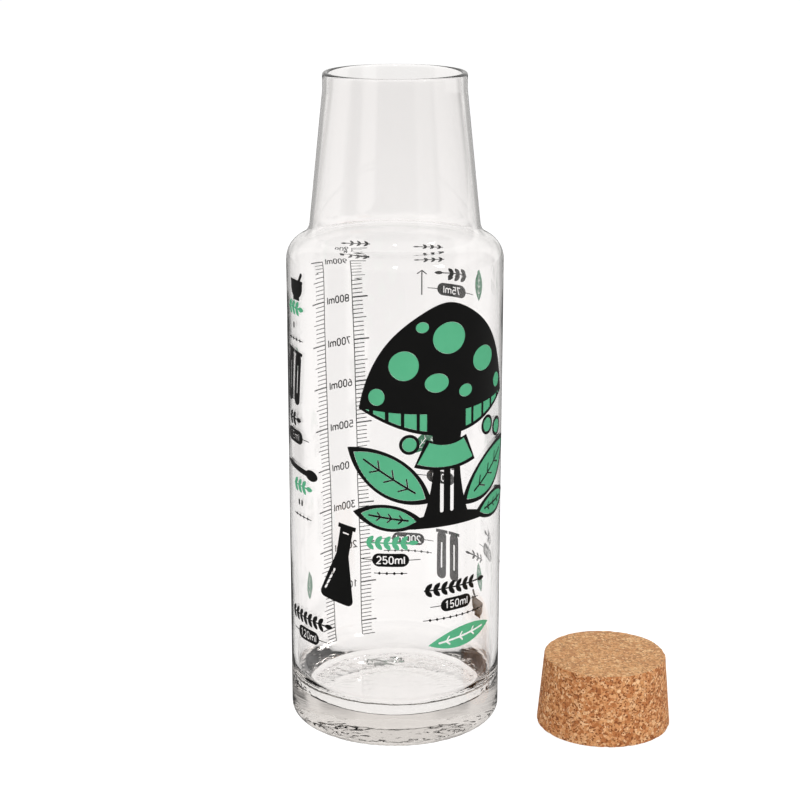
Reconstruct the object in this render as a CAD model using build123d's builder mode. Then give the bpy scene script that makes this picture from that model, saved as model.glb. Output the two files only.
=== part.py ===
from build123d import *
import os
from math import cos, degrees, radians, sin

os.makedirs("parts", exist_ok=True)

# A clear glass bottle with a measuring scale printed on it and a loose cork stopper.
# The origin is on the bottle's axis, on the plane that it stands on, with +Z up.
# The front faces -Y. Azimuths are degrees round the bottle, from the front to the right.
# Lengths are millimetres.

# Bottle, outside
bottle_height = 271.0
body_diameter = 88.0
neck_foot_diameter = 69.6
rim_diameter = 57.6
neck_length = 63.7
rim_land = 7.0
shoulder_fall = 5.2
shoulder_radius = 10.1
neck_foot_radius = 6.5
rim_bend_radius = 24.0
lip_radius = 1.1
heel_radius = 4.2
punt_diameter = 72.0
punt_height = 1.6

# Bottle, inside: the wall low on the body, at the shoulder and at the mouth, then the base and its slope
body_wall = 2.5
shoulder_wall = 1.5
neck_wall = 2.4
base_thickness = 11.5
heel_slope_height = 20.0
heel_slope_radius = 12.0
floor_radius = 34.0
floor_edge_radius = 10.0

# Cork stopper: it wedges in the mouth, and here it stands beside the bottle on its wide end
cork_height = 30.2
cork_entry_play = 2.2
cork_grip = 3.3
cork_edge_radius = 0.6
cork_gap = 17.2
cork_azimuth = 80.5

# Ink: enamel fired on to the outside of the straight body
ink_thickness = 0.12
ink_gap = 0.02
colour_gap = 0.06
cut_overrun = 1.0

# Measuring scale: the print went on a little askew, so its foot stands at this azimuth and it leans
scale_azimuth = -150.5
scale_lean = -1.4
scale_rail_gap = 14.7
scale_first_height = 41.0
scale_step = 18.5
scale_foot_height = 15.0
scale_last_hundred = 9
ticks_per_hundred = 10
rail_width = 0.40
tick_width = 0.35
bold_tick_width = 0.60
short_tick = 4.9
middle_tick = 6.2
long_tick = 7.2

# Numbers
number_height = 3.0
number_stroke = 0.50

# Amount plates: black pills with the number left clear
plate_length = 14.8
plate_height = 5.6
plate_line_length = 4.5

# Fine lines
rule_width = 0.30
bead_size = 1.0
bead_step = 3.0

# Toadstool picture on the front
toadstool_azimuth = 28.0
toadstool_foot_height = 95.0
mound_width = 52.0
mound_height = 6.0
stem_height = 44.0
stem_top_width = 15.0
stem_waist_width = 12.5
stem_foot_width = 24.0
stem_slit_length = 20.0
stem_slit_width = 1.6
stem_slit_gap = 4.6
skirt_top_width = 15.5
skirt_width = 25.0
skirt_height = 8.5
skirt_top_bow = 1.7
skirt_hem_bow = 2.1
cap_half_width = 36.0
cap_height = 42.0
cap_seat = 5.5
gill_drop = 11.5
gill_rise = 2.5
gill_rim = 1.5
gill_slot_width = 1.3
gill_slot_step = 6.2
outline_width = 1.3
vein_width = 0.9
big_leaf_length = 34.0
big_leaf_width = 14.0
low_leaf_length = 22.0
low_leaf_width = 8.4
berry_diameter = 8.2

# Small pictures
flask_height = 34.0
flask_width = 17.0
flask_neck_width = 5.6
flask_neck_length = 13.0
flask_lip_width = 7.8
flask_lip_height = 1.8
flask_corner_radius = 2.2
flask_glint_length = 11.0
flask_glint_width = 0.9
flask_slope_lean = 18.0
flask_neck_glint_width = 0.65
flask_neck_glint_drop = 3.6
tube_length = 22.0
tube_width = 4.8
tube_lip_width = 6.2
tube_lip_height = 1.4
tube_step = 6.9
tube_glint_length = 12.0
tube_glint_width = 0.8
dropper_length = 26.0
dropper_width = 2.3
dropper_tip_length = 5.0
dropper_tip_width = 0.9
dropper_bulb_length = 7.5
dropper_bulb_width = 4.6
arrow_length = 11.6
arrow_head_width = 4.4
arrow_width = 0.5
mortar_width = 9.5
mortar_height = 7.0
mortar_foot_width = 5.5
mortar_lip_height = 1.2
pestle_length = 9.0
pestle_width = 1.5
pestle_lean = 58.0
willow_length = 32.0
willow_width = 8.6
upright_leaf_length = 13.0
upright_leaf_width = 5.4

# Sprigs that stand in rows, and how the rows of one label are spaced
sprig_stem_width = 0.6
bold_leaf_length = 4.2
bold_leaf_width = 2.0
fine_leaf_length = 3.0
fine_leaf_width = 1.2
leaf_pair_step = 3.4
leaf_lean = 48.0
leaf_seat_share = 0.85
label_sprig_rise = 7.2
label_rule_drop = 5.6

# Turns, in degrees
quarter_turn = 90.0
diamond_turn = 45.0

# Sizes that follow from these
body_radius = body_diameter / 2
rim_radius = rim_diameter / 2
neck_foot_half = neck_foot_diameter / 2
mouth_radius = rim_radius - neck_wall
inner_radius = body_radius - body_wall
neck_foot_height = bottle_height - neck_length
shoulder_height = neck_foot_height - shoulder_fall
rim_land_height = bottle_height - rim_land
cork_wide_radius = mouth_radius + cork_grip / 2
cork_narrow_radius = mouth_radius - cork_entry_play / 2
ink_inner_radius = body_radius + ink_gap
ink_outer_radius = ink_inner_radius + ink_thickness


# Glass bottle
def glass_section():
    """Half section of the glass: up the outside, over the lip and down the inside."""
    slope_run = body_radius - neck_foot_half
    slope_length = (slope_run**2 + shoulder_fall**2) ** 0.5
    # This far down, the inside of the sloping shoulder lies one wall under its outside
    inner_drop = shoulder_wall * (slope_length - shoulder_fall) / slope_run
    with BuildSketch(Plane.XZ) as half:
        with BuildLine():
            FilletPolyline(
                (0, 0),
                (body_radius, 0),
                (body_radius, shoulder_height),
                (neck_foot_half, neck_foot_height),
                (rim_radius, rim_land_height),
                (rim_radius, bottle_height),
                (mouth_radius, bottle_height),
                (mouth_radius, rim_land_height),
                (neck_foot_half - shoulder_wall, neck_foot_height - inner_drop),
                (body_radius - shoulder_wall, shoulder_height - inner_drop),
                (inner_radius, heel_slope_height),
                (floor_radius, base_thickness),
                (0, base_thickness),
                radius=[
                    heel_radius,
                    shoulder_radius,
                    neck_foot_radius,
                    rim_bend_radius,
                    lip_radius,
                    lip_radius,
                    rim_bend_radius + neck_wall,
                    neck_foot_radius + shoulder_wall,
                    shoulder_radius - shoulder_wall,
                    heel_slope_radius,
                    floor_edge_radius,
                ],
            )
            Line((0, base_thickness), (0, 0))
        make_face()
    return half.sketch


def punt_section():
    """Half section of the shallow dome pressed into the underside."""
    punt_radius = punt_diameter / 2
    dome_radius = (punt_radius**2 + punt_height**2) / (2 * punt_height)
    half_way_out = punt_radius / 2
    half_way_up = punt_height - dome_radius + (dome_radius**2 - half_way_out**2) ** 0.5
    with BuildSketch(Plane.XZ) as half:
        with BuildLine():
            ThreePointArc((0, punt_height), (half_way_out, half_way_up), (punt_radius, 0))
            Polyline((punt_radius, 0), (0, 0), (0, punt_height))
        make_face()
    return half.sketch


glass_half = glass_section()
punt_half = punt_section()

with BuildPart() as glass_bottle:
    revolve(glass_half, axis=Axis.Z)
    revolve(punt_half, axis=Axis.Z, mode=Mode.SUBTRACT)
glass_bottle.part.label = "glass_bottle"
export_step(glass_bottle.part, "parts/glass_bottle.step")
print("glass", round(glass_bottle.part.volume / 1000), "cm3")


# Cork stopper
cork_stand_off = body_radius + cork_gap + cork_wide_radius
cork_right = cork_stand_off * sin(radians(cork_azimuth))
cork_forward = cork_stand_off * cos(radians(cork_azimuth))

with BuildPart() as cork_stopper:
    with Locations((cork_right, -cork_forward, 0)):
        Cone(
            cork_wide_radius,
            cork_narrow_radius,
            cork_height,
            align=(Align.CENTER, Align.CENTER, Align.MIN),
        )
    fillet(cork_stopper.edges().filter_by(GeomType.CIRCLE), cork_edge_radius)
cork_stopper.part.label = "cork_stopper"
export_step(cork_stopper.part, "parts/cork_stopper.step")


# Laying flat art on the glass
def skin_plane(azimuth, depth_share):
    """Upright plane inside the bottle that faces out at an azimuth, at a share of the radius."""
    angle = radians(azimuth)
    out = (sin(angle), -cos(angle), 0)
    depth = body_radius * depth_share
    return Plane(
        origin=(out[0] * depth, out[1] * depth, 0),
        x_dir=(cos(angle), sin(angle), 0),
        z_dir=out,
    )


def laid(reach, height):
    """Where a point that lies this far round the glass is seen, square on to its plane."""
    return (body_radius * sin(reach / body_radius), height)


# A picture starts this deep, so that the skin's curve lies in front of it all over
small_depth_share = 0.85
wide_depth_share = 0.50


def keep_ink():
    """Keep only one coat of ink of what stands through the skin."""
    with BuildSketch(Plane.XY) as coat:
        Circle(ink_outer_radius)
        Circle(ink_inner_radius, mode=Mode.SUBTRACT)
    extrude(coat.sketch, amount=bottle_height, mode=Mode.INTERSECT)


def on_skin(azimuth, placed_art, depth_share=small_depth_share, mode=Mode.ADD):
    """Put flat drawings on the glass at one azimuth, each with its height and its tilt in degrees."""
    with BuildSketch(skin_plane(azimuth, depth_share)) as placed:
        for height, tilt, art in placed_art:
            with Locations(Location((0, height, 0), (0, 0, tilt))):
                add(art)
    extrude(placed.sketch, amount=body_radius * (1 - depth_share) + cut_overrun, mode=mode)


# Characters, drawn with strokes: points are shares of the width and the height
loop_shares = [(0.3, 0), (0.7, 0), (1, 0.2), (1, 0.8), (0.7, 1), (0.3, 1), (0, 0.8), (0, 0.2), (0.3, 0)]
belly_shares = [(1, 0.42), (1, 0.17), (0.7, 0), (0.3, 0), (0, 0.15)]
small_loop_share = 0.55
low_loop_shares = [(x, y * small_loop_share) for x, y in loop_shares]
high_loop_shares = [(x, 1 - y * small_loop_share) for x, y in loop_shares]
stroke_shares = {
    "0": [loop_shares],
    "1": [[(0.2, 0.8), (0.6, 1), (0.6, 0)]],
    "2": [[(0, 0.8), (0.3, 1), (0.7, 1), (1, 0.8), (1, 0.6), (0, 0), (1, 0)]],
    "3": [[(0, 1), (1, 1), (0.45, 0.6), (0.75, 0.6), *belly_shares]],
    "4": [[(0.75, 0), (0.75, 1), (0, 0.28), (1, 0.28)]],
    "5": [[(0.95, 1), (0.1, 1), (0.05, 0.52), (0.65, 0.6), *belly_shares]],
    "6": [low_loop_shares, [(0, 0.35), (0.2, 0.75), (0.75, 1)]],
    "7": [[(0, 1), (1, 1), (0.35, 0)]],
    "8": [low_loop_shares, high_loop_shares],
    "9": [high_loop_shares, [(1, 0.65), (0.8, 0.25), (0.25, 0)]],
    "m": [
        [(0, 0), (0, 0.7)],
        [(0, 0.52), (0.2, 0.7), (0.4, 0.7), (0.5, 0.55), (0.5, 0)],
        [(0.5, 0.52), (0.7, 0.7), (0.9, 0.7), (1, 0.55), (1, 0)],
    ],
    "l": [[(0, 0), (0, 1)]],
}
width_shares = {"m": 1.7, "l": 0.0}
character_width_share = 0.52
character_gap_share = 0.30

drawn_characters = {}


def character_art(character, width, height, stroke):
    """One character, from its strokes, with its lower left corner at the origin; drawn only once."""
    key = (character, height, stroke)
    if key not in drawn_characters:
        with BuildSketch() as art:
            for stroke_points in stroke_shares[character]:
                with BuildLine():
                    Polyline([(width * x, height * y) for x, y in stroke_points])
                trace(line_width=stroke)
        drawn_characters[key] = art.sketch
    return drawn_characters[key]


def number_art(text, height, stroke):
    """A number drawn with strokes, centred on its own middle."""
    unit = height * character_width_share
    gap = height * character_gap_share
    widths = [unit * width_shares.get(character, 1) for character in text]
    start = -(sum(widths) + gap * (len(text) - 1)) / 2
    with BuildSketch() as art:
        for character, width in zip(text, widths):
            with Locations((start, -height / 2)):
                add(character_art(character, width, height, stroke))
            start += width + gap
    return art.sketch


def blade_art(length, width):
    """A plain leaf blade that lies along x: two arcs that meet at its tips."""
    with BuildSketch() as art:
        with BuildLine():
            ThreePointArc((-length / 2, 0), (0, width / 2), (length / 2, 0))
            ThreePointArc((length / 2, 0), (0, -width / 2), (-length / 2, 0))
        make_face()
    return art.sketch


# Measuring scale
def scale_height(hundreds):
    """Height of the line that marks this many hundred millilitres."""
    return scale_first_height + scale_step * (hundreds - 1)


def rails_art():
    """Two upright rails with a comb of ticks on their outer sides."""
    tick_step = scale_step / ticks_per_hundred
    top = scale_height(scale_last_hundred)
    tick_count = int((top - scale_foot_height) / tick_step) + 1
    half_gap = scale_rail_gap / 2
    foot = top - tick_step * (tick_count - 1)
    kinds = [(long_tick, bold_tick_width), (middle_tick, tick_width), (short_tick, tick_width)]
    places = {kind: [] for kind in kinds}
    for k in range(tick_count):
        if k % ticks_per_hundred == 0:
            kind = kinds[0]
        elif k % (ticks_per_hundred // 2) == 0 or k == tick_count - 1:
            kind = kinds[1]
        else:
            kind = kinds[2]
        reach = half_gap + kind[0] / 2
        places[kind] += [(-reach, top - tick_step * k), (reach, top - tick_step * k)]
    with BuildSketch() as art:
        with Locations((-half_gap, (top + foot) / 2), (half_gap, (top + foot) / 2)):
            Rectangle(rail_width, top - foot + tick_width)
        for (length, width), spots in places.items():
            with Locations(*spots):
                Rectangle(length, width)
    return art.sketch


with BuildPart() as scale_rails:
    on_skin(scale_azimuth, [(0, scale_lean, rails_art())])
    keep_ink()
scale_rails.part.label = "scale_rails"
export_step(scale_rails.part, "parts/scale_rails.step")


def scale_numbers_art():
    """The numbers, each centred between the rails on its own line."""
    with BuildSketch() as art:
        for hundreds in range(1, scale_last_hundred + 1):
            with Locations((0, scale_height(hundreds))):
                add(number_art(f"{hundreds}00ml", number_height, number_stroke))
    return art.sketch


with BuildPart() as scale_numbers:
    on_skin(scale_azimuth, [(0, scale_lean, scale_numbers_art())])
    keep_ink()
scale_numbers.part.label = "scale_numbers"
export_step(scale_numbers.part, "parts/scale_numbers.step")


# Small drawings that the labels and pictures share
def sprig_art(length, leaf_size):
    """A straight stem along x with pairs of pointed leaves and one more at its tip."""
    leaf_length, leaf_width = leaf_size
    leaf_pairs = max(1, int((length - leaf_length) / leaf_pair_step))
    blade = blade_art(leaf_length, leaf_width)
    out = leaf_length / 2 * leaf_seat_share
    spots = []
    for k in range(leaf_pairs):
        foot = leaf_pair_step * (k + 1 / 2) - length / 2
        for lean in (-leaf_lean, leaf_lean):
            spot = (foot + out * cos(radians(lean)), out * sin(radians(lean)), 0)
            spots.append(Location(spot, (0, 0, lean)))
    with BuildSketch() as art:
        Rectangle(length - leaf_length / 2, sprig_stem_width)
        with Locations(*spots):
            add(blade)
        with Locations(((length - leaf_length) / 2, 0)):
            add(blade)
    return art.sketch


def plate_art(text):
    """A rounded plate with its number left clear, and a fine line out of each end."""
    with BuildSketch() as art:
        SlotOverall(plate_length, plate_height)
        Rectangle(plate_length + 2 * plate_line_length, rule_width)
        add(number_art(text, number_height, number_stroke), mode=Mode.SUBTRACT)
    return art.sketch


def bead_rule_art(length):
    """A fine line with small diamonds along it."""
    with BuildSketch() as art:
        Rectangle(length, rule_width)
        with GridLocations(bead_step, bead_step, int(length / bead_step), 1):
            Rectangle(bead_size, bead_size, rotation=diamond_turn)
    return art.sketch


def grown_blade_art(length, width, grow):
    """A leaf blade that stands out all round by this much."""
    return blade_art(length + 2 * grow * length / width, width + 2 * grow)


def veined_leaf_art(length, width, vein, grow=0):
    """A leaf blade with a midrib and side veins left clear; grow widens the blade and narrows them."""
    midrib_share = 0.74
    side_vein_share = 0.30
    side_vein_width_share = 0.80
    side_vein_foot_shares = (-0.26, -0.06, 0.14)
    side_vein_length = width * side_vein_share
    spots = []
    for foot_share in side_vein_foot_shares:
        for lean in (-leaf_lean, leaf_lean):
            rise = side_vein_length / 2 * sin(radians(lean))
            run = side_vein_length / 2 * cos(radians(lean))
            spots.append(Location((length * foot_share + run, rise, 0), (0, 0, lean)))
    with BuildSketch() as art:
        add(grown_blade_art(length, width, grow))
        SlotOverall(length * midrib_share, vein - 2 * grow, mode=Mode.SUBTRACT)
        with Locations(*spots):
            SlotOverall(side_vein_length, vein * side_vein_width_share - 2 * grow, mode=Mode.SUBTRACT)
    return art.sketch


# Labels: a sprig, an amount plate and a fine line under it. Each row gives the azimuth, the plate's
# height as a share of the shoulder's, its number, the sprig's ink, and the lengths of the sprig and
# of the line as shares of the plate's length.
label_shares = [
    (-2.3, 0.4068, "250ml", "green", 1.50, 0.90),
    (34.5, 0.3031, "150ml", "black", 2.10, 2.00),
    (-65.0, 0.8539, "40ml", "green", 1.00, 0.90),
    (-67.3, 0.6253, "15ml", "black", 0.85, 0.00),
    (-59.3, 0.4904, "400ml", "green", 1.05, 0.95),
    (-54.7, 0.2115, "120ml", "black", 2.00, 0.00),
    (145.3, 0.8629, "75ml", "black", 1.20, 0.00),
    (151.5, 0.4481, "30ml", "black", 1.35, 0.00),
    (171.9, 0.3001, "200ml", "green", 0.90, 1.50),
    (104.0, 0.3262, "60ml", "black", 0.95, 0.00),
]

with BuildPart() as amount_plates:
    for azimuth, height_share, text, colour, sprig_share, rule_share in label_shares:
        on_skin(azimuth, [(shoulder_height * height_share, 0, plate_art(text))])
    keep_ink()
amount_plates.part.label = "amount_plates"
export_step(amount_plates.part, "parts/amount_plates.step")

with BuildPart() as fine_rules:
    for azimuth, height_share, text, colour, sprig_share, rule_share in label_shares:
        if rule_share:
            rule_height = shoulder_height * height_share - label_rule_drop
            on_skin(azimuth, [(rule_height, 0, bead_rule_art(plate_length * rule_share))])
    keep_ink()
fine_rules.part.label = "fine_rules"
export_step(fine_rules.part, "parts/fine_rules.step")


def lay_label_sprigs(ink):
    """Lay the sprigs of one ink, each above its plate."""
    leaf_size = (bold_leaf_length, bold_leaf_width)
    for azimuth, height_share, text, colour, sprig_share, rule_share in label_shares:
        if colour == ink:
            sprig_height = shoulder_height * height_share + label_sprig_rise
            on_skin(azimuth, [(sprig_height, 0, sprig_art(plate_length * sprig_share, leaf_size))])


with BuildPart() as black_sprigs:
    lay_label_sprigs("black")
    keep_ink()
black_sprigs.part.label = "black_sprigs"
export_step(black_sprigs.part, "parts/black_sprigs.step")

with BuildPart() as green_sprigs:
    lay_label_sprigs("green")
    keep_ink()
green_sprigs.part.label = "green_sprigs"
export_step(green_sprigs.part, "parts/green_sprigs.step")


# Small pictures
def flask_art():
    """A conical laboratory flask with a lip and two clear glints."""
    top = flask_height / 2
    neck_foot = top - flask_neck_length
    glint_share = 0.24
    glint_spot = (-flask_width * glint_share, -flask_height * glint_share, 0)
    with BuildSketch() as art:
        with BuildLine():
            Polyline(
                (-flask_neck_width / 2, top),
                (-flask_neck_width / 2, neck_foot),
                (-flask_width / 2, -top),
                (flask_width / 2, -top),
                (flask_neck_width / 2, neck_foot),
                (flask_neck_width / 2, top),
                close=True,
            )
        make_face()
        fillet(art.vertices().group_by(Axis.Y)[0], flask_corner_radius)
        with Locations((0, top - flask_lip_height / 2)):
            Rectangle(flask_lip_width, flask_lip_height)
        with Locations(Location(glint_spot, (0, 0, quarter_turn - flask_slope_lean))):
            SlotOverall(flask_glint_length, flask_glint_width, mode=Mode.SUBTRACT)
        with Locations((0, top - flask_neck_glint_drop)):
            SlotOverall(flask_neck_width / 2, flask_neck_glint_width, mode=Mode.SUBTRACT)
    return art.sketch


def tubes_art():
    """Two test tubes side by side, each with a lip and a clear glint."""
    half_step = tube_step / 2
    with BuildSketch() as art:
        with Locations((-half_step, 0), (half_step, 0)):
            SlotOverall(tube_length, tube_width, rotation=quarter_turn)
            SlotOverall(tube_glint_length, tube_glint_width, rotation=quarter_turn, mode=Mode.SUBTRACT)
        with Locations((-half_step, tube_length / 2), (half_step, tube_length / 2)):
            Rectangle(tube_lip_width, tube_lip_height)
    return art.sketch


def dropper_art():
    """A dropper that lies along x, with its tip at the left and its bulb at the right."""
    half = dropper_length / 2
    tip_foot = dropper_tip_length - half
    with BuildSketch() as art:
        with BuildLine():
            Polyline(
                (-half, -dropper_tip_width / 2),
                (tip_foot, -dropper_width / 2),
                (half - dropper_bulb_length / 2, -dropper_width / 2),
                (half - dropper_bulb_length / 2, dropper_width / 2),
                (tip_foot, dropper_width / 2),
                (-half, dropper_tip_width / 2),
                close=True,
            )
        make_face()
        with Locations((half - dropper_bulb_length / 2, 0)):
            Ellipse(dropper_bulb_length / 2, dropper_bulb_width / 2)
    return art.sketch


def arrow_art():
    """A thin arrow that points up."""
    top = arrow_length / 2
    head = arrow_head_width / 2
    with BuildSketch() as art:
        with BuildLine():
            Line((0, -top), (0, top))
        trace(line_width=arrow_width)
        with BuildLine():
            Polyline((-head, top - head), (0, top), (head, top - head))
        trace(line_width=arrow_width)
    return art.sketch


def mortar_art():
    """A mortar with its pestle leaning out."""
    rim = mortar_height / 2
    pestle_seat_share = 0.25
    with BuildSketch() as art:
        with BuildLine():
            ThreePointArc((-mortar_width / 2, rim), (0, -rim), (mortar_width / 2, rim))
            Line((mortar_width / 2, rim), (-mortar_width / 2, rim))
        make_face()
        with Locations((0, -rim)):
            Rectangle(mortar_foot_width, mortar_lip_height)
        with Locations((0, rim)):
            Rectangle(mortar_width + mortar_lip_height, mortar_lip_height)
        with Locations(Location((mortar_width * pestle_seat_share, rim, 0), (0, 0, pestle_lean))):
            SlotOverall(pestle_length, pestle_width)
    return art.sketch


# Where the small pictures stand: azimuth, height as a share of the shoulder's, and tilt
flask_shares = [(-29.5, 0.3897, -10)]
tubes_shares = [(146.0, 0.2719, 0), (-67.0, 0.7471, -6)]
dropper_shares = [(-62.0, 0.5599, -4)]
arrow_shares = [(164.5, 0.8750, 0)]
mortar_shares = [(-63.0, 0.9264, 0), (118.0, 0.1812, 0)]
willow_shares = [(39.0, 0.2291, 6)]
upright_leaf_shares = [
    (124.0, 0.8861, 90),
    (156.0, 0.5236, 40),
    (163.5, 0.5236, 125),
    (117.0, 0.2537, 70),
    (-116.0, 0.2356, 90),
    (-104.0, 0.7451, 75),
]
fine_sprig_shares = [(-157.0, 0.9566, 6), (123.0, 0.2950, 0), (160.0, 0.9415, 0)]


def lay_pictures(picture, place_shares):
    """Lay copies of one picture at its places."""
    for azimuth, height_share, tilt in place_shares:
        on_skin(azimuth, [(shoulder_height * height_share, tilt, picture)])


with BuildPart() as flask_picture:
    lay_pictures(flask_art(), flask_shares)
    keep_ink()
flask_picture.part.label = "flask_picture"
export_step(flask_picture.part, "parts/flask_picture.step")

with BuildPart() as test_tube_pictures:
    lay_pictures(tubes_art(), tubes_shares)
    keep_ink()
test_tube_pictures.part.label = "test_tube_pictures"
export_step(test_tube_pictures.part, "parts/test_tube_pictures.step")

with BuildPart() as dropper_picture:
    lay_pictures(dropper_art(), dropper_shares)
    keep_ink()
dropper_picture.part.label = "dropper_picture"
export_step(dropper_picture.part, "parts/dropper_picture.step")

with BuildPart() as arrow_mark:
    lay_pictures(arrow_art(), arrow_shares)
    keep_ink()
arrow_mark.part.label = "arrow_mark"
export_step(arrow_mark.part, "parts/arrow_mark.step")

with BuildPart() as mortar_pictures:
    lay_pictures(mortar_art(), mortar_shares)
    keep_ink()
mortar_pictures.part.label = "mortar_pictures"
export_step(mortar_pictures.part, "parts/mortar_pictures.step")

with BuildPart() as fine_sprigs:
    lay_pictures(sprig_art(plate_length, (fine_leaf_length, fine_leaf_width)), fine_sprig_shares)
    keep_ink()
fine_sprigs.part.label = "fine_sprigs"
export_step(fine_sprigs.part, "parts/fine_sprigs.step")

with BuildPart() as green_leaves:
    lay_pictures(veined_leaf_art(willow_length, willow_width, vein_width), willow_shares)
    lay_pictures(veined_leaf_art(upright_leaf_length, upright_leaf_width, rule_width), upright_leaf_shares)
    keep_ink()
green_leaves.part.label = "green_leaves"
export_step(green_leaves.part, "parts/green_leaves.step")


# Toadstool picture. Its parts stand on the picture's own foot line, with x along the glass.
cap_rim_height = toadstool_foot_height + stem_height + cap_seat
gill_depth = gill_drop - gill_rim


def cap_art():
    """The bell-shaped cap with its underside, which bows down to the front."""
    side_shares = [(0.28, 0.92), (0.66, 0.66), (0.93, 0.24)]
    bell_shares = [(-x, y) for x, y in reversed(side_shares)] + [(0, 1)] + side_shares
    left = laid(-cap_half_width, cap_rim_height)
    right = laid(cap_half_width, cap_rim_height)
    bell = [laid(cap_half_width * x, cap_rim_height + cap_height * y) for x, y in bell_shares]
    with BuildSketch() as art:
        with BuildLine():
            Spline(left, *bell, right)
            ThreePointArc(right, (0, cap_rim_height - gill_drop), left)
        make_face()
    return art.sketch


def spots_art(grow):
    """The spots on the cap: centre and half sizes as shares of the cap's."""
    spot_shares = [
        (0.02, 0.66, 0.20, 0.15),
        (-0.50, 0.42, 0.15, 0.14),
        (0.52, 0.40, 0.16, 0.12),
        (-0.13, 0.24, 0.14, 0.09),
        (-0.80, 0.12, 0.07, 0.08),
        (0.24, 0.13, 0.09, 0.06),
        (0.83, 0.13, 0.06, 0.07),
        (-0.30, 0.78, 0.07, 0.05),
    ]
    with BuildSketch() as art:
        for x, y, half_width_share, half_height_share in spot_shares:
            with Locations(laid(cap_half_width * x, cap_rim_height + cap_height * y)):
                Ellipse(cap_half_width * half_width_share + grow, cap_height * half_height_share + grow)
    return art.sketch


def gills_art(grow):
    """The gills under the cap: a bowed band cut by upright slots, open where the stem stands."""
    reach = cap_half_width - 2 * outline_width + grow
    left = laid(-reach, cap_rim_height)
    right = laid(reach, cap_rim_height)
    slots_each_side = int(cap_half_width / gill_slot_step)
    slot_places = [gill_slot_step * k for k in range(-slots_each_side, slots_each_side + 1)]
    stem_gap = stem_top_width + 2 * (gill_slot_width - grow)
    with BuildSketch() as art:
        with BuildLine():
            ThreePointArc(left, (0, cap_rim_height - gill_rise + grow), right)
            ThreePointArc(right, (0, cap_rim_height - gill_depth - grow), left)
        make_face()
        with Locations(*[laid(place, cap_rim_height) for place in slot_places]):
            Rectangle(gill_slot_width - 2 * grow, 2 * gill_drop, mode=Mode.SUBTRACT)
        with Locations((0, cap_rim_height - gill_drop)):
            Rectangle(stem_gap, 2 * gill_drop - gill_rise, mode=Mode.SUBTRACT)
    return art.sketch


def stem_art():
    """The stem on its mound, with two clear slits."""
    foot = toadstool_foot_height
    top = foot + stem_height
    middle = foot + stem_height / 2
    foot_half = stem_foot_width / 2
    waist_half = stem_waist_width / 2
    top_half = stem_top_width / 2
    mound_left = laid(-mound_width / 2, foot)
    mound_right = laid(mound_width / 2, foot)
    with BuildSketch() as art:
        with BuildLine():
            ThreePointArc((-foot_half, foot), (-waist_half, middle), (-top_half, top))
            Line((-top_half, top), (top_half, top))
            ThreePointArc((top_half, top), (waist_half, middle), (foot_half, foot))
            Line((foot_half, foot), (-foot_half, foot))
        make_face()
        with BuildLine():
            ThreePointArc(mound_left, (0, foot + mound_height), mound_right)
            Line(mound_right, mound_left)
        make_face()
        slit_height = foot + mound_height + stem_slit_length / 2
        with Locations((-stem_slit_gap / 2, slit_height), (stem_slit_gap / 2, slit_height)):
            SlotOverall(stem_slit_length, stem_slit_width, rotation=quarter_turn, mode=Mode.SUBTRACT)
    return art.sketch


def skirt_art(grow):
    """The ring round the stem under the cap: a flared collar with a bowed hem."""
    top = toadstool_foot_height + stem_height - skirt_height + grow
    hem = top - skirt_height - 2 * grow
    top_half = skirt_top_width / 2 + grow
    hem_half = skirt_width / 2 + grow
    with BuildSketch() as art:
        with BuildLine():
            ThreePointArc((-top_half, top), (0, top - skirt_top_bow), (top_half, top))
            Line((top_half, top), (hem_half, hem))
            ThreePointArc((hem_half, hem), (0, hem - skirt_hem_bow), (-hem_half, hem))
            Line((-hem_half, hem), (-top_half, top))
        make_face()
    return art.sketch


# Leaves and berries beside the stem: how far round from the stem, as a share of the cap's half
# width, height as a share of the stem's, and the turn in degrees
big_leaf_shares = [(-0.66, 0.50, 146), (0.68, 0.42, 32)]
low_leaf_shares = [(-0.67, 0.11, 172), (0.80, 0.08, 6)]
leaf_kinds = [
    (big_leaf_length, big_leaf_width, big_leaf_shares),
    (low_leaf_length, low_leaf_width, low_leaf_shares),
]
berry_shares = [(0.62, 0.86, 0), (0.86, 0.80, 0), (-0.44, 0.80, 0)]


def lay_beside_stem(picture, place_shares, mode):
    """Lay copies of one drawing at their places beside the toadstool's stem."""
    for reach_share, height_share, turn in place_shares:
        turn_round = degrees(cap_half_width * reach_share / body_radius)
        height = toadstool_foot_height + stem_height * height_share
        on_skin(toadstool_azimuth + turn_round, [(height, turn, picture)], mode=mode)


def berry_art(radius):
    """A round berry."""
    with BuildSketch() as art:
        Circle(radius)
    return art.sketch


def lay_green(grow, mode):
    """Lay all that is green in the picture, widened by this much."""
    centre = [(0, 0, spots_art(grow)), (0, 0, gills_art(grow)), (0, 0, skirt_art(grow))]
    on_skin(toadstool_azimuth, centre, wide_depth_share, mode)
    for length, width, place_shares in leaf_kinds:
        lay_beside_stem(veined_leaf_art(length, width, vein_width, grow), place_shares, mode)
    lay_beside_stem(berry_art(berry_diameter / 2 - outline_width + grow), berry_shares, mode)


with BuildPart() as toadstool_green:
    lay_green(0, Mode.ADD)
    keep_ink()
toadstool_green.part.label = "toadstool_green"
export_step(toadstool_green.part, "parts/toadstool_green.step")

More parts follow.
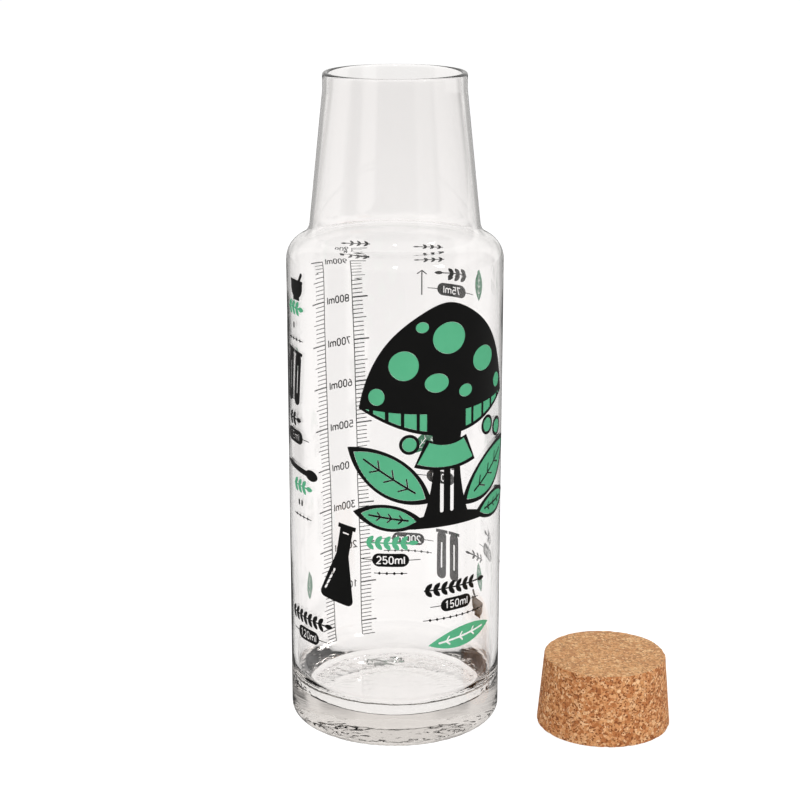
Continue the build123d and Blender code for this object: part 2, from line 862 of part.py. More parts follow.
with BuildPart() as toadstool_black:
    centre_black = [(0, 0, cap_art()), (0, 0, stem_art()), (0, 0, skirt_art(outline_width))]
    on_skin(toadstool_azimuth, centre_black, wide_depth_share)
    for length, width, place_shares in leaf_kinds:
        lay_beside_stem(grown_blade_art(length, width, outline_width), place_shares, Mode.ADD)
    lay_beside_stem(berry_art(berry_diameter / 2), berry_shares, Mode.ADD)
    lay_green(colour_gap, Mode.SUBTRACT)
    keep_ink()
toadstool_black.part.label = "toadstool_black"
export_step(toadstool_black.part, "parts/toadstool_black.step")
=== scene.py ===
# %% [markdown]
# # A clear glass bottle with a measuring scale, and its cork stopper
# The CAD model is loaded first and stays as it is. It is the frame that every piece below fits,
# in metres, with the bottle standing on the origin and its front facing -Y.
# The boxes round the CAD bottle and stopper are kept, and give the sizes below.

# %%
# Load the frame
import math

import bpy
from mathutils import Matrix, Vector, noise


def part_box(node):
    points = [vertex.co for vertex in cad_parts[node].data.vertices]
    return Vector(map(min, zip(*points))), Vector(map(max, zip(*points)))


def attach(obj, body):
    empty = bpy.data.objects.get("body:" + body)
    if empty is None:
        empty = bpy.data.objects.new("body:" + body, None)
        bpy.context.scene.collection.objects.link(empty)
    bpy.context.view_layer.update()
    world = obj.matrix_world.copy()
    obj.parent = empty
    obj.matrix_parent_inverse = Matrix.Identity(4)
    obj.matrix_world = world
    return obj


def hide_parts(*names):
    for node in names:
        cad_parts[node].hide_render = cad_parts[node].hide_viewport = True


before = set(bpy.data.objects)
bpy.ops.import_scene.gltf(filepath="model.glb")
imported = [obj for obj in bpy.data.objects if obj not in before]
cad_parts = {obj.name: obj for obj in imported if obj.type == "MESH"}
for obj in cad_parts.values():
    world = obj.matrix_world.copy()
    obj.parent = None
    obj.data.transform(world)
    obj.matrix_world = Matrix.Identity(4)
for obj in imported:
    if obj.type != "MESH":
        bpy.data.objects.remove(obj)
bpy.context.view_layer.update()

MM = 0.001
bottle_low, bottle_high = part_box("glass_bottle")
cork_low, cork_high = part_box("cork_stopper")
bottle_height = bottle_high.z - bottle_low.z
body_radius = (bottle_high.x - bottle_low.x) / 2
print("bottle", round(bottle_height / MM, 1), "mm tall,", round(body_radius / MM, 1), "mm radius")

# %% [markdown]
# The camera comes next, because every later choice is judged through it. The photograph was taken
# from a little above the neck, about 0.8 m away. Its distance, height, tilt and focal length were
# worked out from the ellipses of the rim, the shoulder and the base, which open as the eye looks
# down on them. The photograph's optical centre lies a few pixels off its middle: that is the shift.
# The Standard view shows each colour as it is written.

# %%
# Camera
photo_px = 800
focal_px = 2014.8
centre_px = (395.0, 398.1)
camera_back = 800.8 * MM
camera_height = 359.4 * MM
camera_down = math.radians(15.512)
sensor_width_mm = 36.0

camera_data = bpy.data.cameras.new("photo_camera")
camera_data.sensor_width = sensor_width_mm
camera_data.lens = focal_px / photo_px * sensor_width_mm
camera_data.shift_x = (photo_px / 2 - centre_px[0]) / photo_px
camera_data.shift_y = (centre_px[1] - photo_px / 2) / photo_px
camera = bpy.data.objects.new("photo_camera", camera_data)
camera.location = (0, -camera_back, camera_height)
camera.rotation_euler = (math.pi / 2 - camera_down, 0, 0)
bpy.context.scene.collection.objects.link(camera)
bpy.context.scene.camera = camera
bpy.context.scene.view_settings.view_transform = "Standard"
print("lens", round(camera_data.lens, 1), "mm")

# %% [markdown]
# Two small helpers serve every material. Colours are given as sRGB hex values, and shaders
# work in linear light, so one function turns them. The other adds a node with its settings and
# its links in one call, so that each material reads as a list of what it is made of.

# %%
# Helpers for materials
def linear(hex_colour):
    """An sRGB hex colour as linear red, green, blue and alpha."""
    shares = [int(hex_colour[k : k + 2], 16) / 255 for k in (1, 3, 5)]
    return [c / 12.92 if c <= 0.04045 else ((c + 0.055) / 1.055) ** 2.4 for c in shares] + [1.0]


def add_node(tree, kind, settings=None, links=None):
    """Add a node; a setting is an input's value where the node has that input, or else a property."""
    node = tree.nodes.new(kind)
    for name, value in (settings or {}).items():
        if isinstance(name, int) or name in node.inputs:
            node.inputs[name].default_value = value
        else:
            setattr(node, name, value)
    for name, source in (links or {}).items():
        tree.links.new(source, node.inputs[name])
    return node


def new_material(name):
    """An empty node material and its tree."""
    material = bpy.data.materials.new(name)
    material.use_nodes = True
    material.node_tree.nodes.clear()
    return material, material.node_tree


def per_mm(size_mm):
    """Texture scale at which one cell of a pattern is this many millimetres."""
    return 1 / (size_mm * MM)


# %% [markdown]
# Glass is seen by what it bends and by its edges, so its shape matters more than its colour.
# The CAD node has the right shape, but its facets would show as streaks in the bent light.
# Here the same section is turned finely, with smooth normals. A section is a list of corners, each
# with the radius of its round, and the helper fills in the arcs.

# %%
# Turned shapes
arc_step = math.radians(6)
longest_run = 4.0
# A hair's breadth, in mm, for comparing distances
hair = 0.01


def rounded_outline(corners):
    """Points in mm along straight runs and arcs; a corner is (distance out, height, arc radius)."""
    points = []
    for k, (out, height, bend) in enumerate(corners):
        corner = Vector((out, height))
        if bend == 0:
            points.append(corner)
            continue
        back = (Vector(corners[k - 1][:2]) - corner).normalized()
        on = (Vector(corners[k + 1][:2]) - corner).normalized()
        half = back.angle(on) / 2
        centre = corner + (back + on).normalized() * (bend / math.sin(half))
        first = corner + back * (bend / math.tan(half)) - centre
        last = corner + on * (bend / math.tan(half)) - centre
        turn = first.angle(last)
        steps = max(3, math.ceil(turn / arc_step))
        for s in range(steps + 1):
            share = s / steps
            arm = first * math.sin((1 - share) * turn) + last * math.sin(share * turn)
            points.append(centre + arm / math.sin(turn))
    return points


def divided(points, longest):
    """The same outline, with points added so that no run is longer than this."""
    filled = [points[0]]
    for before, after in zip(points, points[1:]):
        pieces = max(1, math.ceil((after - before).length / longest))
        filled += [before.lerp(after, s / pieces) for s in range(1, pieces + 1)]
    return filled


def turned(name, outline, segments, centre, moved=None):
    """Turn an outline that starts and ends on the axis into a closed, smooth mesh."""
    vertices = [(0, 0, outline[0].y)]
    for point in outline[1:-1]:
        for s in range(segments):
            angle = 2 * math.pi * s / segments
            vertices.append((point.x * math.sin(angle), -point.x * math.cos(angle), point.y))
    vertices.append((0, 0, outline[-1].y))
    if moved:
        vertices = [moved(Vector(v)) for v in vertices]
    rows = len(outline) - 2
    top = len(vertices) - 1
    faces = []
    for s in range(segments):
        on = (s + 1) % segments
        faces.append((0, 1 + on, 1 + s))
        last_row = 1 + (rows - 1) * segments
        faces.append((top, last_row + s, last_row + on))
    for row in range(rows - 1):
        base = 1 + row * segments
        for s in range(segments):
            on = (s + 1) % segments
            faces.append((base + s, base + on, base + segments + on, base + segments + s))
    mesh = bpy.data.meshes.new(name)
    mesh.from_pydata([(v[0] * MM, v[1] * MM, v[2] * MM) for v in vertices], [], faces)
    mesh.polygons.foreach_set("use_smooth", [True] * len(mesh.polygons))
    mesh.update()
    piece = bpy.data.objects.new(name, mesh)
    piece.location = centre
    bpy.context.scene.collection.objects.link(piece)
    print(name, len(mesh.vertices), "points")
    return piece


# %% [markdown]
# A bottle like this is blown into an iron mould. The mould makes the outside true, and the inside is
# left to the air, so the wall's thickness and the floor wander by a few tenths of a millimetre.
# That wandering is what makes the thick base sparkle and its streaks run unevenly.
# The mould's stipple under the bottle is a real relief too: it grows from near the middle to the ring
# that the bottle stands on, and is pressed upwards into the glass.
# The outside wall above the foot isn't moved, so the print still lies on it.

# %%
# Glass bottle
# Sizes in mm, as in the CAD part
body_wall = 2.5
shoulder_wall = 1.5
neck_wall = 2.4
base_thickness = 11.5
heel_slope_height = 20.0
floor_out = 34.0
neck_foot_height = 207.3
shoulder_height = 202.1
neck_foot_out = 34.8
rim_out = 28.8
rim_land_height = 264.0
mouth_out = rim_out - neck_wall
body_out = body_radius / MM
top_height = bottle_height / MM
inner_out = body_out - body_wall
punt_out = 36.0
punt_rise = 1.6
punt_mid_share = 0.75
foot_round = 4.2
shoulder_round = 10.1
neck_foot_round = 6.5
rim_blend_round = 24.0
lip_round = 1.1
heel_slope_round = 12.0
heel_floor_round = 10.0
slope_run = body_out - neck_foot_out
slope_fall = neck_foot_height - shoulder_height
inner_drop = shoulder_wall * (math.hypot(slope_run, slope_fall) - slope_fall) / slope_run

# The middle of the underside, the punt and its edge are sharp corners, so they give one point each
underside_points = 3
glass_corners = [
    (0, punt_rise, 0),
    (punt_out / 2, punt_rise * punt_mid_share, 0),
    (punt_out, 0, 0),
    (body_out, 0, foot_round),
    (body_out, shoulder_height, shoulder_round),
    (neck_foot_out, neck_foot_height, neck_foot_round),
    (rim_out, rim_land_height, rim_blend_round),
    (rim_out, top_height, lip_round),
    (mouth_out, top_height, lip_round),
    (mouth_out, rim_land_height, rim_blend_round + neck_wall),
    (neck_foot_out - shoulder_wall, neck_foot_height - inner_drop, neck_foot_round + shoulder_wall),
    (body_out - shoulder_wall, shoulder_height - inner_drop, shoulder_round - shoulder_wall),
    (inner_out, heel_slope_height, heel_slope_round),
    (floor_out, base_thickness, heel_floor_round),
    (0, base_thickness, 0),
]

# Waves of the inside: their length, drawn out upwards, and their height on the floor and on the wall
wave_length = 26.0
wave_upright = 0.4
floor_wave = 0.35
wall_wave = 0.16
# The floor's waves turn into the wall's over this height, and the wall's end as far below the shoulder
wave_fade = 12.0
# A point this far below the floor still counts as inside, and nearer to the axis none is drawn in more
floor_margin = 1.0
least_out = 1.0
# Ripples on the inner heel, flattened, which grow steeply towards the wall
ripple_length = 9.0
ripple_upright = 1.7
ripple_depth = 0.30
ripple_power = 4
# Stipple on the underside, from this far out and up to this height
stipple_length = 3.2
stipple_rise = 0.40
stipple_from = 8.0
stipple_top = 2.2
# How finely the outline is divided at the foot, and the outline is turned
foot_run = 1.0
glass_segments = 256


def blown(point):
    """Move a point of the inside as the air left it, stipple the underside, and leave the wall true."""
    out = math.hypot(point.x, point.y)
    if point.z < stipple_top:
        inner_share = max(0.0, min(1.0, (out - stipple_from) / (punt_out - stipple_from)))
        grain = abs(noise.noise(point / stipple_length)) * inner_share * (1 - point.z / stipple_top)
        return Vector((point.x, point.y, point.z + stipple_rise * grain))
    widest = body_out - shoulder_wall + hair
    if out > widest or not base_thickness - floor_margin < point.z < shoulder_height:
        return point
    wave = noise.noise(Vector((point.x, point.y, point.z * wave_upright)) / wave_length)
    low = max(0.0, min(1.0, (base_thickness + wave_fade - point.z) / wave_fade))
    high = max(0.0, min(1.0, (shoulder_height - wave_fade - point.z) / wave_fade))
    ripple = noise.noise(Vector((point.x, point.y, point.z * ripple_upright)) / ripple_length)
    ripple = ripple * ripple_depth * low
    near_wall = min(1.0, out / floor_out) ** ripple_power
    inward = wall_wave * abs(wave) * (1 - low) * high + abs(ripple) * near_wall
    sideways = 1 - inward / max(out, least_out)
    return Vector((point.x * sideways, point.y * sideways, point.z + floor_wave * wave * low))


whole_outline = rounded_outline(glass_corners)
foot_end = underside_points
while whole_outline[foot_end].y <= stipple_top:
    foot_end += 1
foot_outline = divided(whole_outline[: foot_end + 1], foot_run)
glass_outline = foot_outline + divided(whole_outline[foot_end:], longest_run)[1:]
glass = turned("glass_body", glass_outline, glass_segments, (0, 0, 0), blown)
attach(glass, "bottle")
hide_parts("glass_bottle")

# %% [markdown]
# **Clear soda-lime glass, blown and fire-polished.** Its index is 1.52 and its surface is as smooth
# as a liquid, so the roughness is zero and all its character is in the bending of light. A trace of
# absorption greys the long ways through the base and along the walls. The ring that it stands on
# is stippled by the mould so that it doesn't slide: a bump over the mesh's relief breaks the light
# at the foot into grains. The lamps shine through the glass, so its shadow is pale.

# %%
# Glass material
glass_index = 1.52
# The stipple's bump comes in this far inside the punt's edge, and is full as far outside it
bump_edge = 1.0


def glass_material():
    """Clear soda-lime glass, blown and fire-polished."""
    material, tree = new_material("soda_lime_glass_blown")
    place = add_node(tree, "ShaderNodeTexCoord")
    here = {"Vector": place.outputs["Object"]}
    waves = add_node(tree, "ShaderNodeTexNoise", {"Scale": per_mm(18), "Detail": 1.0}, here)
    grains = add_node(
        tree,
        "ShaderNodeTexVoronoi",
        {"feature": "SMOOTH_F1", "Scale": per_mm(2.6), "Smoothness": 0.8},
        here,
    )
    patches = add_node(tree, "ShaderNodeTexNoise", {"Scale": per_mm(7), "Detail": 2.0}, here)
    # The bump lies on the foot's lowest few millimetres, outside the punt
    height = add_node(tree, "ShaderNodeSeparateXYZ", links={0: place.outputs["Object"]})
    foot = add_node(
        tree,
        "ShaderNodeMapRange",
        {"From Min": 3.6 * MM, "From Max": 1.2 * MM},
        {"Value": height.outputs["Z"]},
    )
    level = add_node(
        tree,
        "ShaderNodeVectorMath",
        {"operation": "MULTIPLY", 1: (1, 1, 0)},
        {0: place.outputs["Object"]},
    )
    out = add_node(tree, "ShaderNodeVectorMath", {"operation": "LENGTH"}, {0: level.outputs[0]})
    ring = add_node(
        tree,
        "ShaderNodeMapRange",
        {"From Min": (punt_out - bump_edge) * MM, "From Max": (punt_out + bump_edge) * MM},
        {"Value": out.outputs["Value"]},
    )
    under = add_node(
        tree,
        "ShaderNodeMath",
        {"operation": "MULTIPLY"},
        {0: ring.outputs["Result"], 1: foot.outputs["Result"]},
    )
    stipple = add_node(
        tree,
        "ShaderNodeMath",
        {"operation": "MULTIPLY"},
        {0: grains.outputs["Distance"], 1: under.outputs[0]},
    )
    uneven = add_node(
        tree,
        "ShaderNodeMath",
        {"operation": "MULTIPLY"},
        {0: stipple.outputs[0], 1: patches.outputs["Fac"]},
    )
    ripple = add_node(
        tree,
        "ShaderNodeBump",
        {"Strength": 0.06, "Distance": 1.0 * MM},
        {"Height": waves.outputs["Fac"]},
    )
    skin = add_node(
        tree,
        "ShaderNodeBump",
        {"Strength": 0.7, "Distance": 0.9 * MM},
        {"Height": uneven.outputs[0], "Normal": ripple.outputs["Normal"]},
    )
    surface = add_node(
        tree,
        "ShaderNodeBsdfPrincipled",
        {"Base Color": linear("#FFFEFE"), "Roughness": 0.0, "IOR": glass_index, "Transmission Weight": 1.0},
        {"Normal": skin.outputs["Normal"]},
    )
    clear = add_node(tree, "ShaderNodeBsdfTransparent", {"Color": linear("#F2F2F1")})
    rays = add_node(tree, "ShaderNodeLightPath")
    mixed = add_node(
        tree,
        "ShaderNodeMixShader",
        links={0: rays.outputs["Is Shadow Ray"], 1: surface.outputs[0], 2: clear.outputs[0]},
    )
    inside = add_node(tree, "ShaderNodeVolumeAbsorption", {"Color": linear("#EEEBE8"), "Density": 20.0})
    ends = {"Surface": mixed.outputs[0], "Volume": inside.outputs[0]}
    add_node(tree, "ShaderNodeOutputMaterial", links=ends)
    return material


glass.data.materials.append(glass_material())

# %% [markdown]
# The print is ceramic enamel: ground coloured glass screened on to the outside and melted there.
# It is a raised skin a tenth of a millimetre thick, opaque, and less glossy than the bottle.
# The CAD nodes have that shape, so they stay and only get a material. A screen leaves a slightly
# uneven coat, so the colour, the gloss and the height all wander a little.

# %%
# Enamel materials
gloss_below = 0.06
gloss_above = 0.10


def enamel_material(name, full_colour, thin_colour, rough):
    """Screen-printed ceramic enamel, fired on to the glass."""
    material, tree = new_material(name)
    place = add_node(tree, "ShaderNodeTexCoord")
    here = {"Vector": place.outputs["Object"]}
    cloud = add_node(tree, "ShaderNodeTexNoise", {"Scale": per_mm(6), "Detail": 4.0}, here)
    grit = add_node(tree, "ShaderNodeTexNoise", {"Scale": per_mm(0.7), "Detail": 2.0}, here)
    colour = add_node(
        tree,
        "ShaderNodeMix",
        {"data_type": "RGBA", 6: linear(full_colour), 7: linear(thin_colour)},
        {0: cloud.outputs["Fac"]},
    )
    gloss = add_node(
        tree,
        "ShaderNodeMapRange",
        {"To Min": rough - gloss_below, "To Max": rough + gloss_above},
        {"Value": grit.outputs["Fac"]},
    )
    skin = add_node(
        tree,
        "ShaderNodeBump",
        {"Strength": 0.25, "Distance": 0.05 * MM},
        {"Height": grit.outputs["Fac"]},
    )
    surface = add_node(
        tree,
        "ShaderNodeBsdfPrincipled",
        {"IOR": glass_index},
        {
            "Base Color": colour.outputs[2],
            "Roughness": gloss.outputs["Result"],
            "Normal": skin.outputs["Normal"],
        },
    )
    add_node(tree, "ShaderNodeOutputMaterial", links={"Surface": surface.outputs[0]})
    return material


black_enamel = enamel_material("black_ceramic_enamel_fired", "#050505", "#0B0A09", 0.30)
green_enamel = enamel_material("green_ceramic_enamel_fired", "#47A377", "#52AC80", 0.38)
green_nodes = ["toadstool_green", "green_sprigs", "green_leaves"]
plain_nodes = ["glass_bottle", "cork_stopper"]
for name, node in sorted(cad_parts.items()):
    if name in plain_nodes:
        continue
    enamel = green_enamel if name in green_nodes else black_enamel
    node.data.materials.clear()
    node.data.materials.append(enamel)
print(len(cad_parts) - len(plain_nodes), "printed nodes")

# %% [markdown]
# The stopper is agglomerated cork: bark ground to grains of a millimetre or two, glued under
# pressure and turned to a taper. Its rim chips where a grain comes away. The turned mesh is fine
# enough to carry those pits as real hollows, always inwards, so it stays inside the CAD stopper.

# %%
# Cork stopper
cork_height = (cork_high.z - cork_low.z) / MM
cork_wide_out = (cork_high.x - cork_low.x) / 2 / MM
cork_narrow_out = 25.3
cork_edge = 0.6
cork_centre = Vector(((cork_low.x + cork_high.x) / 2, (cork_low.y + cork_high.y) / 2, cork_low.z))
cork_corners = [
    (0, 0, 0),
    (cork_wide_out, 0, cork_edge),
    (cork_narrow_out, cork_height, cork_edge),
    (0, cork_height, 0),
]
cork_run = 0.5
cork_segments = 320
# The grains' size, and how uneven turning leaves the whole skin
grain_mm = 1.3
turned_depth = 0.10
# Pits: their size beside a grain's, their depth, and how strong the noise has to be to make one
pit_share = 0.6
pit_depth = 0.42
pit_from = 0.32
pit_shift = Vector((7, 3, 5))
# Chips of the rims: their size, their depth and how far they reach
chip_mm = 3.1
chip_depth = 0.75
chip_reach = 1.5
chip_shift = Vector((2, 9, 4))
# Points this near to the side move inwards, and points this near to an end move up or down into it
side_reach = 1.2
end_reach = 1.0


def pitted(point):
    """Press a point of the cork inwards where a grain is missing or low."""
    out = math.hypot(point.x, point.y)
    side = cork_wide_out + (cork_narrow_out - cork_wide_out) * point.z / cork_height
    low = noise.noise(point / grain_mm)
    hole = max(0.0, noise.noise(point / (grain_mm * pit_share) + pit_shift) - pit_from)
    from_end = min(cork_height - point.z, point.z)
    rim = max(0.0, 1 - (side - out) / chip_reach) * max(0.0, 1 - from_end / chip_reach)
    chip = rim * max(0.0, noise.noise(point / chip_mm + chip_shift))
    depth = turned_depth * (low + 1) / 2 + pit_depth * hole + chip_depth * chip
    if out < hair:
        return point
    share = max(0.0, min(1.0, 1 - (side - out) / side_reach))
    inward = Vector((-point.x / out, -point.y / out, 0)) * share
    floor = Vector((0, 0, 1 if point.z < cork_height / 2 else -1)) * (1 - share)
    flat = from_end < end_reach
    return point + depth * (inward + (floor if flat else Vector()))


cork_outline = divided(rounded_outline(cork_corners), cork_run)
cork = turned("cork_body", cork_outline, cork_segments, cork_centre, pitted)
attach(cork, "stopper")
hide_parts("cork_stopper")

# %% [markdown]
# **Agglomerated cork, ground, glued and turned.** The eye reads three things: grains of several
# tans, dark flecks of bark between them, and a dull surface. Cells give each grain its own tan, a
# second and finer set gives the flecks, and a fine noise stands for the cells of the cork itself.
# The turned side tears grains open and looks busier, and the sawn ends are smoother and paler.

# %%
# Cork material
def cork_material():
    """Agglomerated cork, turned on the side and sawn at the ends."""
    material, tree = new_material("agglomerated_cork_turned")
    place = add_node(tree, "ShaderNodeTexCoord")
    here = {"Vector": place.outputs["Object"]}
    bend = add_node(tree, "ShaderNodeTexNoise", {"Scale": per_mm(2.2), "Detail": 3.0}, here)
    shifted = add_node(
        tree,
        "ShaderNodeVectorMath",
        {"operation": "MULTIPLY_ADD", 1: (0.9 * MM,) * 3},
        {0: bend.outputs["Color"], 2: place.outputs["Object"]},
    )
    bent = {"Vector": shifted.outputs[0]}
    grains = add_node(tree, "ShaderNodeTexVoronoi", {"Scale": per_mm(grain_mm)}, bent)
    seams = add_node(
        tree,
        "ShaderNodeTexVoronoi",
        {"feature": "DISTANCE_TO_EDGE", "Scale": per_mm(grain_mm)},
        bent,
    )
    flecks = add_node(tree, "ShaderNodeTexVoronoi", {"Scale": per_mm(0.62)}, bent)
    own = add_node(tree, "ShaderNodeSeparateColor", links={0: grains.outputs["Color"]})
    fleck_own = add_node(tree, "ShaderNodeSeparateColor", links={0: flecks.outputs["Color"]})
    tans = add_node(tree, "ShaderNodeValToRGB", links={0: own.outputs[0]})
    stops = [(0.0, "#A4643A"), (0.18, "#B97647"), (0.45, "#CB905D"), (0.75, "#D59F6E"), (1.0, "#E4BA8D")]
    tans.color_ramp.elements.remove(tans.color_ramp.elements[1])
    for position, colour in stops:
        stop = tans.color_ramp.elements[0] if position == 0 else tans.color_ramp.elements.new(position)
        stop.position = position
        stop.color = linear(colour)
    dark = add_node(
        tree,
        "ShaderNodeMapRange",
        {"From Min": 0.74, "From Max": 0.86},
        {"Value": fleck_own.outputs[0]},
    )
    flecked = add_node(
        tree,
        "ShaderNodeMix",
        {"data_type": "RGBA", 7: linear("#7A4526")},
        {0: dark.outputs["Result"], 6: tans.outputs["Color"]},
    )
    seam = add_node(
        tree,
        "ShaderNodeMapRange",
        {"From Min": 0.10, "From Max": 0.0, "To Max": 0.6},
        {"Value": seams.outputs["Distance"]},
    )
    glued = add_node(
        tree,
        "ShaderNodeMix",
        {"data_type": "RGBA", 7: linear("#8F5733")},
        {0: seam.outputs["Result"], 6: flecked.outputs[2]},
    )
    facing = add_node(tree, "ShaderNodeSeparateXYZ", links={0: place.outputs["Normal"]})
    upright = add_node(tree, "ShaderNodeMath", {"operation": "ABSOLUTE"}, {0: facing.outputs["Z"]})
    sawn = add_node(
        tree,
        "ShaderNodeMapRange",
        {"From Min": 0.5, "From Max": 0.9, "To Max": 0.28},
        {"Value": upright.outputs[0]},
    )
    ended = add_node(
        tree,
        "ShaderNodeMix",
        {"data_type": "RGBA", 7: linear("#C5AB81")},
        {0: sawn.outputs["Result"], 6: glued.outputs[2]},
    )
    pores = add_node(tree, "ShaderNodeTexNoise", {"Scale": per_mm(0.35), "Detail": 2.0}, here)
    relief = add_node(
        tree,
        "ShaderNodeMath",
        {"operation": "ADD"},
        {0: own.outputs[1], 1: pores.outputs["Fac"]},
    )
    skin = add_node(
        tree,
        "ShaderNodeBump",
        {"Strength": 0.6, "Distance": 0.25 * MM},
        {"Height": relief.outputs[0]},
    )
    surface = add_node(
        tree,
        "ShaderNodeBsdfPrincipled",
        {"Roughness": 0.85, "Specular IOR Level": 0.25},
        {"Base Color": ended.outputs[2], "Normal": skin.outputs["Normal"]},
    )
    add_node(tree, "ShaderNodeOutputMaterial", links={"Surface": surface.outputs[0]})
    return material


cork.data.materials.append(cork_material())

# %% [markdown]
# The photograph stands on pure white, with hardly a shadow. Here the floor glows just below white
# for what the eye sees, directly or through the glass, and the lamps' light on it makes up the rest,
# so the shadows still show as a faint grey. Nothing extra falls on the object.
# White paper lies behind the bottle, and the studio round the lamps is dim: through the glass the
# eye sees white, and what the front mirrors is the dim room, so black print stays black.
# Clear glass on white would vanish. A photographer stands dark cards just out of sight at the sides,
# and the steep edges of the glass bend the eye's line to them, which draws each edge as a soft grey
# line. Here the cards are stretches of the paper and the room, told by their way round the bottle.
# The neck's wall bends the line of sight by 20 to 30 degrees, so two narrow cards stand that far from
# straight behind. The thick base bends it much further, and the wide card at the right is its.
# What the walls mirror inside themselves comes from the room at the sides and in front, and three
# cards there darken it. The neck's two and the room's three lie on the floor too. They start some way
# off, or they would show through the bottle's own base.

# %%
# Cards at the sides
# Each card: the way to it, half its width, both in degrees, and how strongly it greys
neck_cards = [(65, 8, 0.45), (115, 8, 0.45)]
base_cards = [(8, 34, 1.0)]
room_cards = [(232, 36, 1.0), (282, 20, 1.0), (345, 15, 1.0)]
card_soft_deg = 4
card_grey = 0.20
# On the floor the neck's cards, then the room's, come in between these distances, in metres
card_near = 0.22
card_far = 0.40
room_near = 0.12
room_far = 0.24
# A direction that rises more than the first meets less of a card, and beyond the second none
card_top = 0.30
card_fade = 0.50


def toward(tree, way, centre_deg, half_deg):
    """1 where a direction points this way round the bottle and 0 elsewhere, with a soft edge."""
    level = add_node(tree, "ShaderNodeVectorMath", {"operation": "MULTIPLY", 1: (1, 1, 0)}, {0: way})
    unit = add_node(tree, "ShaderNodeVectorMath", {"operation": "NORMALIZE"}, {0: level.outputs[0]})
    centre = math.radians(centre_deg)
    along = add_node(
        tree,
        "ShaderNodeVectorMath",
        {"operation": "DOT_PRODUCT", 1: (math.cos(centre), math.sin(centre), 0)},
        {0: unit.outputs[0]},
    )
    edges = [math.cos(math.radians(half_deg + soft)) for soft in (card_soft_deg, -card_soft_deg)]
    share = add_node(
        tree,
        "ShaderNodeMapRange",
        {"interpolation_type": "SMOOTHSTEP", "From Min": edges[0], "From Max": edges[1]},
        {"Value": along.outputs["Value"]},
    )
    return share.outputs["Result"]


def on_a_card(tree, way, cards):
    """How strongly a direction is greyed by one of these cards."""
    met = None
    for centre, half, strength in cards:
        share = toward(tree, way, centre, half)
        share = add_node(tree, "ShaderNodeMath", {"operation": "MULTIPLY", 1: strength}, {0: share})
        if met is None:
            met = share
        else:
            pair = {0: met.outputs[0], 1: share.outputs[0]}
            met = add_node(tree, "ShaderNodeMath", {"operation": "MAXIMUM"}, pair)
    unit = add_node(tree, "ShaderNodeVectorMath", {"operation": "NORMALIZE"}, {0: way})
    rise = add_node(tree, "ShaderNodeSeparateXYZ", links={0: unit.outputs[0]})
    low = add_node(
        tree,
        "ShaderNodeMapRange",
        {"interpolation_type": "SMOOTHSTEP", "From Min": card_fade, "From Max": card_top},
        {"Value": rise.outputs["Z"]},
    )
    greyed = add_node(
        tree,
        "ShaderNodeMath",
        {"operation": "MULTIPLY"},
        {0: met.outputs[0], 1: low.outputs["Result"]},
    )
    return greyed.outputs[0]


# %%
# Floor and world
floor_half = 4.0
floor_drop = 0.05 * MM
# How strongly paper glows for the eye itself and through the glass, and what it gives back of the lamps
direct_glow = 0.88
through_strength = 0.80
paper_grey = 0.26
# How bright the room is in a mirror in general and straight behind the bottle, and as a light
mirror_dim = 0.15
mirror_bright = 0.85
room_light = 0.55
# A hair warmer than white
warm_white = "#F9F8F6"

floor_mesh = bpy.data.meshes.new("studio_floor")
corners = [(x * floor_half, y * floor_half, 0) for x, y in ((-1, -1), (1, -1), (1, 1), (-1, 1))]
floor_mesh.from_pydata(corners, [], [(0, 1, 2, 3)])
floor = bpy.data.objects.new("studio_floor", floor_mesh)
floor.location.z = -floor_drop
bpy.context.scene.collection.objects.link(floor)


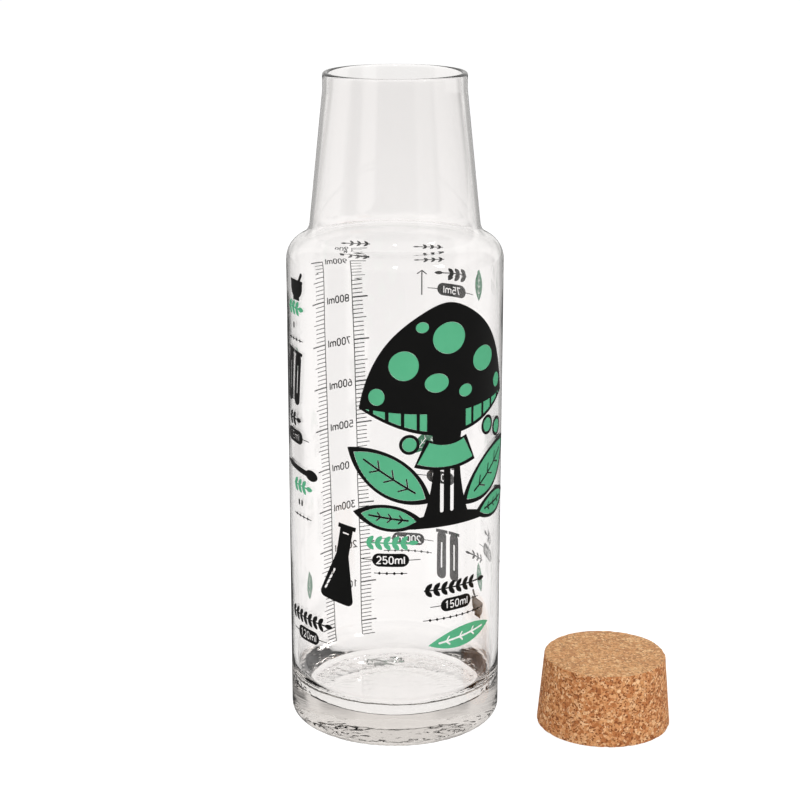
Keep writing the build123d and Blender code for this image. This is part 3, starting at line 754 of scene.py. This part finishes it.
def floor_material():
    """Matt white paper sweep."""
    material, tree = new_material("white_paper_sweep")
    rays = add_node(tree, "ShaderNodeLightPath")
    matt = add_node(tree, "ShaderNodeBsdfDiffuse", {"Color": linear("#F4F4F4")})
    paper = add_node(tree, "ShaderNodeBsdfDiffuse", {"Color": (paper_grey,) * 3 + (1,)})
    glow = add_node(tree, "ShaderNodeEmission", {"Color": (1, 1, 1, 1), "Strength": direct_glow})
    through_glow = add_node(
        tree,
        "ShaderNodeEmission",
        {"Color": linear("#FBFAF8"), "Strength": through_strength},
    )
    mirror_glow = add_node(
        tree,
        "ShaderNodeEmission",
        {"Color": linear(warm_white), "Strength": mirror_dim},
    )
    lit = add_node(tree, "ShaderNodeAddShader", links={0: paper.outputs[0], 1: glow.outputs[0]})
    white_paper = add_node(
        tree,
        "ShaderNodeAddShader",
        links={0: paper.outputs[0], 1: through_glow.outputs[0]},
    )
    card = add_node(tree, "ShaderNodeEmission", {"Color": linear(warm_white), "Strength": card_grey})
    place = add_node(tree, "ShaderNodeTexCoord")
    out = add_node(tree, "ShaderNodeVectorMath", {"operation": "LENGTH"}, {0: place.outputs["Object"]})
    laid = []
    for cards, near, far in ((neck_cards, card_near, card_far), (room_cards, room_near, room_far)):
        away = add_node(
            tree,
            "ShaderNodeMapRange",
            {"interpolation_type": "SMOOTHSTEP", "From Min": near, "From Max": far},
            {"Value": out.outputs["Value"]},
        )
        share = on_a_card(tree, place.outputs["Object"], cards)
        placed = {0: share, 1: away.outputs["Result"]}
        laid.append(add_node(tree, "ShaderNodeMath", {"operation": "MULTIPLY"}, placed))
    both = {k: one.outputs[0] for k, one in enumerate(laid)}
    carded = add_node(tree, "ShaderNodeMath", {"operation": "MAXIMUM"}, both)
    through = add_node(
        tree,
        "ShaderNodeMixShader",
        links={0: carded.outputs[0], 1: white_paper.outputs[0], 2: card.outputs[0]},
    )
    shown = matt
    looks = [("Is Glossy Ray", mirror_glow), ("Is Transmission Ray", through), ("Is Camera Ray", lit)]
    for ray, look in looks:
        chosen = {0: rays.outputs[ray], 1: shown.outputs[0], 2: look.outputs[0]}
        shown = add_node(tree, "ShaderNodeMixShader", links=chosen)
    add_node(tree, "ShaderNodeOutputMaterial", links={"Surface": shown.outputs[0]})
    return material


floor_mesh.materials.append(floor_material())

world = bpy.data.worlds.new("white_studio")
world.use_nodes = True
world_tree = world.node_tree
world_tree.nodes.clear()
world_rays = add_node(world_tree, "ShaderNodeLightPath")
world_way = add_node(world_tree, "ShaderNodeTexCoord").outputs["Generated"]
behind_deg, behind_half_deg = 90, 50
card_share = on_a_card(world_tree, world_way, neck_cards + base_cards + room_cards)
behind_share = toward(world_tree, world_way, behind_deg, behind_half_deg)
shown = add_node(world_tree, "ShaderNodeBackground", {"Color": (1, 1, 1, 1), "Strength": room_light})
# For each kind of ray: the room's colour, its strength, its strength in one stretch, and that stretch.
# The eye itself sees the same white everywhere
looks = [
    ("Is Glossy Ray", warm_white, mirror_dim, mirror_bright, behind_share),
    ("Is Transmission Ray", warm_white, 1.0, card_grey, card_share),
    ("Is Camera Ray", "#FFFFFF", 1.0, 1.0, card_share),
]
for ray, colour, *strengths, stretch in looks:
    room, part = [
        add_node(world_tree, "ShaderNodeBackground", {"Color": linear(colour), "Strength": strength})
        for strength in strengths
    ]
    mixed = {0: stretch, 1: room.outputs[0], 2: part.outputs[0]}
    look = add_node(world_tree, "ShaderNodeMixShader", links=mixed)
    chosen = {0: world_rays.outputs[ray], 1: shown.outputs[0], 2: look.outputs[0]}
    shown = add_node(world_tree, "ShaderNodeMixShader", links=chosen)
add_node(world_tree, "ShaderNodeOutputWorld", links={"Surface": shown.outputs[0]})
bpy.context.scene.world = world

# %% [markdown]
# Soft light from large panels, as in a product studio: front left, front right and overhead. Their
# mirror images on the glass are kept off, as a photographer does with a polarising filter, because
# the bottle shows only a few small glints. Two small lamps make those, high at the front and right.

# %%
# Lamps
lamp_distance = 1.5


def softbox(name, azimuth_deg, elevation_deg, size, watts, glints):
    """A panel of light that faces the bottle; its mirror image is seen only where it makes glints."""
    data = bpy.data.lights.new(name, "AREA")
    data.shape = "RECTANGLE"
    data.size, data.size_y = size
    data.energy = watts
    lamp = bpy.data.objects.new(name, data)
    azimuth, elevation = math.radians(azimuth_deg), math.radians(elevation_deg)
    level = math.cos(elevation)
    away = Vector((math.sin(azimuth) * level, -math.cos(azimuth) * level, math.sin(elevation)))
    aim = Vector((0, 0, bottle_height / 2))
    lamp.location = aim + away * lamp_distance
    lamp.rotation_mode = "QUATERNION"
    lamp.rotation_quaternion = away.to_track_quat("Z", "Y")
    lamp.visible_camera = False
    lamp.visible_glossy = glints
    lamp.visible_transmission = glints
    bpy.context.scene.collection.objects.link(lamp)


# Each lamp: way round the bottle and height, both in degrees, then its size in metres and its watts
lamps = [
    ("panel_front_left", -40, 38, (0.7, 0.7), 9.0, False),
    ("panel_front_right", 57, 20, (0.35, 0.9), 7.0, False),
    ("panel_overhead", 170, 72, (0.9, 0.9), 9.0, False),
    ("lamp_high_front", 0, 46, (0.10, 0.22), 0.6, True),
    ("lamp_high_right", 55, 38, (0.20, 0.28), 1.3, True),
]
for lamp in lamps:
    softbox(*lamp)
print(len(lamps), "lamps")
